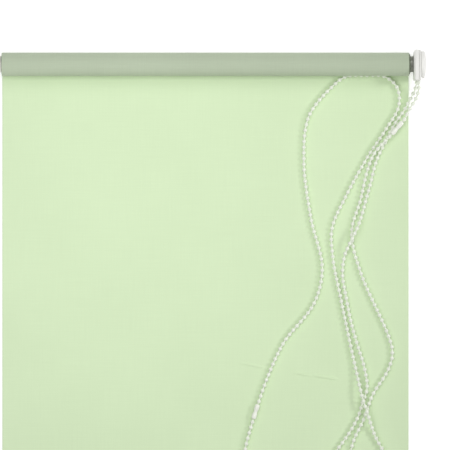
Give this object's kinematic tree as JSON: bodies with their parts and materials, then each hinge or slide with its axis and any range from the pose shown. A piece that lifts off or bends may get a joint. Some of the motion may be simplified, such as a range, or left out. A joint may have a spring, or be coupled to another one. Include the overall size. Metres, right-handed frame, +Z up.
{
  "type": "chain operated roller blind",
  "caption": "Small chain-operated roller blind lying flat, part of its light green sheet unrolled, with a bead chain loop laid over the sheet.",
  "frame": {"origin": "middle of the base of the blind without its free chain, on the surface that it lies on", "axes": "+X along the roller towards the chain clutch, +Y from the bottom bar towards the roller, +Z up from the surface"},
  "size_m": [0.4592, 0.784, 0.0309],
  "materials": {
    "sheet": "plain woven, matt",
    "roll": "plain woven, matt, reverse side out",
    "clutch_plastic": "moulded satin",
    "chain_plastic": "moulded satin",
    "tube_metal": "rolled, zinc coated",
    "bar_metal": "drawn, satin",
    "spring_steel": "drawn wire"
  },
  "bodies": {
    "clutch": {"chain_guard": "clutch_plastic", "chain_guard_outer_half": "clutch_plastic", "clutch_end_cap": "clutch_plastic", "clutch_core": "clutch_plastic", "core_retainer_clip": "spring_steel", "fabric_sheet": "sheet", "chain_upper": "chain_plastic", "chain_long": "chain_plastic", "chain_lower": "chain_plastic", "chain_connector_upper": "chain_plastic", "chain_connector_lower": "chain_plastic"},
    "roller": {"roller_tube": "tube_metal", "fabric_roll": "roll", "fabric_tape": "clutch_plastic", "drive_adapter": "clutch_plastic", "brake_spring_1": "spring_steel", "brake_spring_2": "spring_steel", "idle_plug": "clutch_plastic"},
    "wheel": {"chain_wheel": "clutch_plastic", "chain_on_wheel": "chain_plastic"},
    "bush": {"idle_bush": "clutch_plastic", "idle_bush_clip": "spring_steel", "idle_spring_seat": "clutch_plastic"},
    "pin": {"idle_pin": "spring_steel", "idle_spring": "spring_steel"},
    "bar": {"bottom_bar": "bar_metal", "bottom_bar_spline": "clutch_plastic", "fabric_hem": "sheet", "bottom_bar_cap_left": "clutch_plastic", "bottom_bar_cap_right": "clutch_plastic"}
  },
  "joints": [
    {"name": "roller_spin", "type": "hinge", "parent": "clutch", "child": "roller", "pos_m": [0, 0.37657, 0.01546], "axis": [-1, 0, 0], "range_deg": [-1090, 3815]},
    {"name": "chain_wheel_spin", "type": "hinge", "parent": "clutch", "child": "wheel", "pos_m": [0.22015, 0.37657, 0.01546], "axis": [-1, 0, 0], "range_deg": [-1091, 3816]},
    {"name": "bar_travel", "type": "slide", "parent": "clutch", "child": "bar", "axis": [0, -1, 0], "range_m": [-0.2, 0.7], "deforming": ["fabric_sheet"]},
    {"name": "idle_bush_spin", "type": "hinge", "parent": "roller", "child": "bush", "pos_m": [-0.22955, 0.37657, 0.01546], "axis": [1, 0, 0], "continuous": true},
    {"name": "idle_pin_slide", "type": "slide", "parent": "bush", "child": "pin", "axis": [1, 0, 0], "range_m": [0, 0.006], "stiffness_N_per_m": 300, "springref_m": -0.008, "deforming": ["idle_spring"]}
  ],
  "couplings": [
    {"joint": "chain_wheel_spin", "follows": "roller_spin", "ratio": 1},
    {"joint": "bar_travel", "follows": "roller_spin", "m_per_rad": 0.0105}
  ]
}
